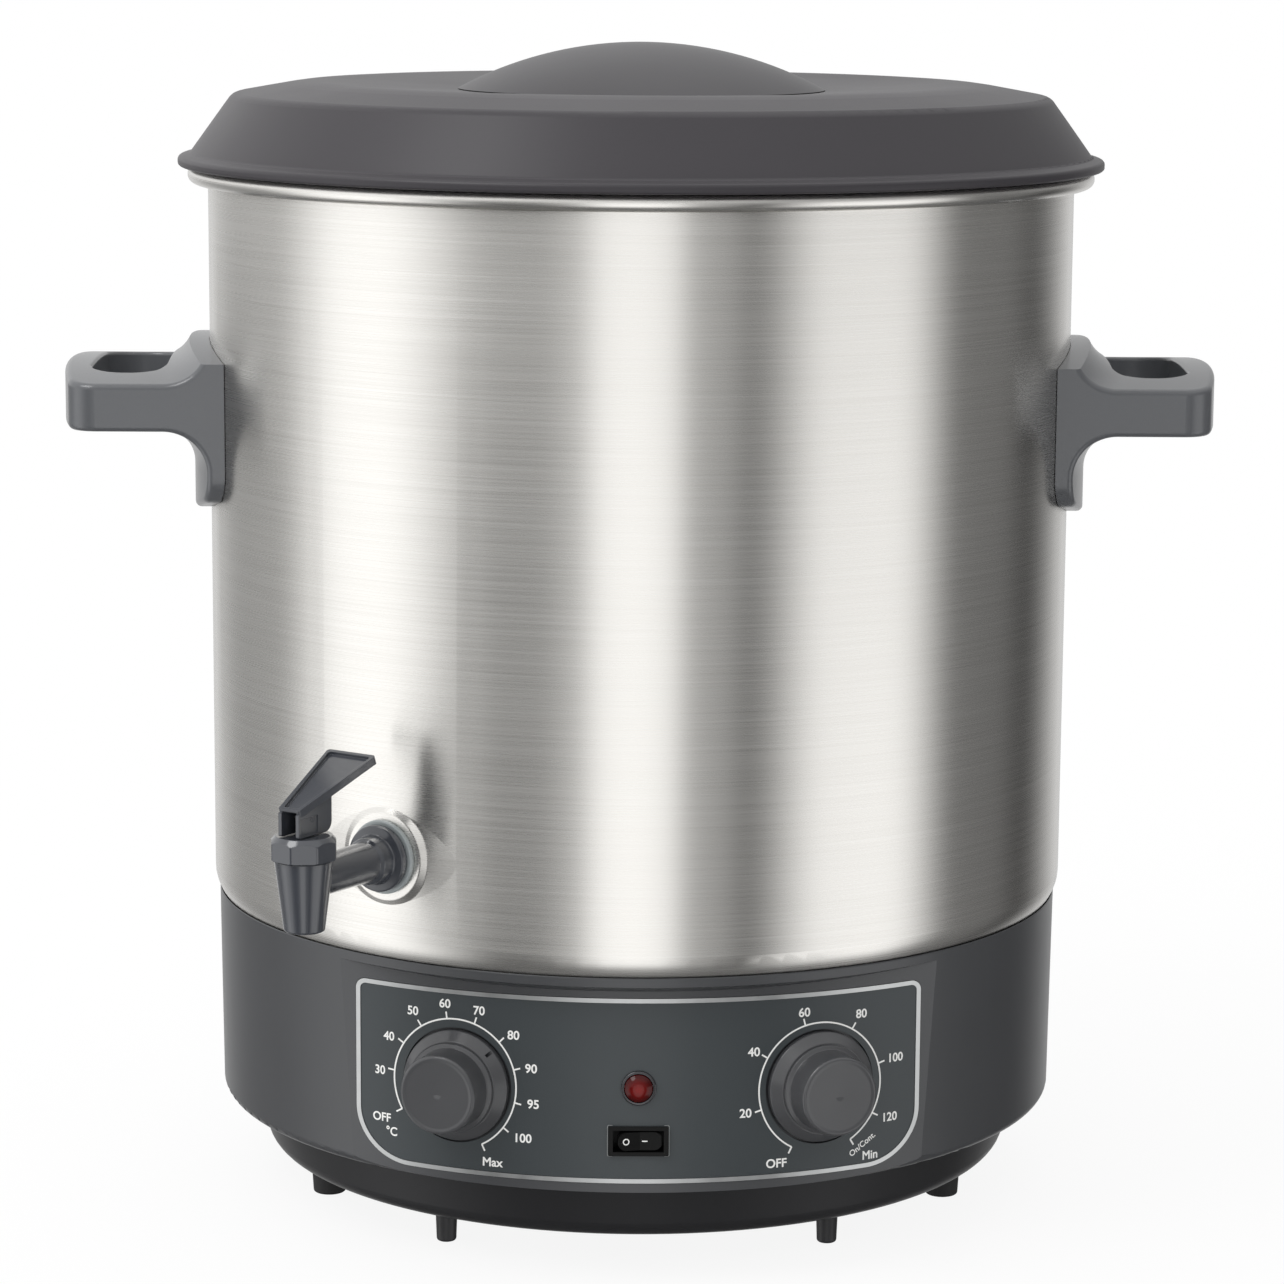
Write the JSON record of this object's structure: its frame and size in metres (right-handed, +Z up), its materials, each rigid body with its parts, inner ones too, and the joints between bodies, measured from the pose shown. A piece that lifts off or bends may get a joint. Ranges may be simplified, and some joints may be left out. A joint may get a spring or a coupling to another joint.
{
  "type": "preserving cooker",
  "caption": "Round electric preserving cooker: steel vessel with lid, lever tap and carrying handles on a flat-fronted base with a temperature dial, timer, lamp and switch.",
  "frame": {"origin": "on the counter under the vessel's axis, at the level of the feet's undersides", "axes": "+Z up along the vessel's axis, the control panel faces -Y, the carrying handles lie along X"},
  "size_m": [0.466, 0.387, 0.4674],
  "materials": {
    "brushed_steel": "brushed around the vessel",
    "rack_steel": "satin",
    "zinc_steel": "bright zinc",
    "element_steel": "heat-tinted",
    "heater_aluminium": "as cast",
    "copper": "drawn",
    "bright_line": "satin chrome",
    "lamp_ring": "dark chrome",
    "housing_paint": "satin, slightly textured",
    "base_paint": "satin",
    "panel_paint": "matt print",
    "knob_plastic": "satin",
    "tap_grey": "glossy",
    "switch_black": "glossy",
    "black_plastic": "matt",
    "grey_plastic": "fine-grained",
    "lid_plastic": "fine-grained",
    "lid_grip_plastic": "satin",
    "pale_plastic": "matt",
    "black_rubber": "matt",
    "wire_cover": "satin",
    "clear_washer": "translucent",
    "red_lens": "translucent, glossy"
  },
  "bodies": {
    "temperature_control": {"thermostat_knob": "knob_plastic", "thermostat_shaft": "zinc_steel"},
    "timer_control": {"timer_knob": "knob_plastic", "timer_shaft": "zinc_steel"},
    "mains_rocker": {"switch_rocker": "switch_black"},
    "lid_set": {"lid": "lid_plastic", "lid_well": "lid_plastic", "lid_handle": "lid_grip_plastic", "lid_handle_screws": "zinc_steel"},
    "rack": {"jar_rack": "rack_steel"},
    "valve_stem": {"tap_stem": "tap_grey", "tap_seat_cup": "black_rubber", "lever_pin": "tap_grey"},
    "valve_lever": {"tap_lever": "tap_grey"},
    "cooker": {"vessel": "brushed_steel", "tie_studs": "zinc_steel", "stud_nuts": "zinc_steel", "heat_spreader": "heater_aluminium", "heating_element": "element_steel", "sensor_bulb": "copper", "capillary_tube": "copper", "thermal_cutout": "zinc_steel", "heat_shield": "zinc_steel", "base_housing": "housing_paint", "control_panel": "panel_paint", "panel_trim": "bright_line", "base_plate": "base_paint", "support_feet": "black_rubber", "foot_pegs": "black_plastic", "thermostat_body": "pale_plastic", "timer_body": "pale_plastic", "timer_bell": "zinc_steel", "lamp_lens": "red_lens", "lamp_bezel": "lamp_ring", "lamp_body": "pale_plastic", "switch_body": "switch_black", "terminal_block": "pale_plastic", "wiring": "wire_cover", "cord_gland": "black_plastic", "gland_nut": "black_plastic", "handle_left": "grey_plastic", "handle_right": "grey_plastic", "handle_screws": "zinc_steel", "handle_seals": "black_rubber", "tap_body": "tap_grey", "tap_washer_outer": "clear_washer", "tap_washer_inner": "black_rubber", "tap_nut": "tap_grey", "tap_bonnet": "tap_grey"}
  },
  "joints": [
    {"name": "thermostat_turn", "type": "hinge", "parent": "cooker", "child": "temperature_control", "pos_m": [-0.07, -0.1537, 0.0756], "axis": [0.3625, 0.9315, -0.0299], "range_deg": [-161, 109]},
    {"name": "timer_turn", "type": "hinge", "parent": "cooker", "child": "timer_control", "pos_m": [0.07, -0.1537, 0.0756], "axis": [-0.3625, 0.9315, -0.0299], "range_deg": [-300, 0]},
    {"name": "rocker_tilt", "type": "hinge", "parent": "cooker", "child": "mains_rocker", "pos_m": [0, -0.16373, 0.0575], "axis": [0, 0.0492, 0.9988], "range_deg": [-16, 0]},
    {"name": "lid_lift", "type": "slide", "parent": "cooker", "child": "lid_set", "axis": [0, 0, 1], "range_m": [0, 0.12]},
    {"name": "rack_lift", "type": "slide", "parent": "cooker", "child": "rack", "axis": [0, 0, 1], "range_m": [0, 0.2]},
    {"name": "stem_slide", "type": "slide", "parent": "cooker", "child": "valve_stem", "axis": [0, 0, 1], "range_m": [0, 0.004]},
    {"name": "lever_flip", "type": "hinge", "parent": "valve_stem", "child": "valve_lever", "pos_m": [-0.12495, -0.18771, 0.1875], "axis": [0.8324, -0.5541, 0], "range_deg": [0, 30]}
  ],
  "couplings": [
    {"joint": "stem_slide", "follows": "lever_flip", "m_per_rad": 0.0076}
  ]
}
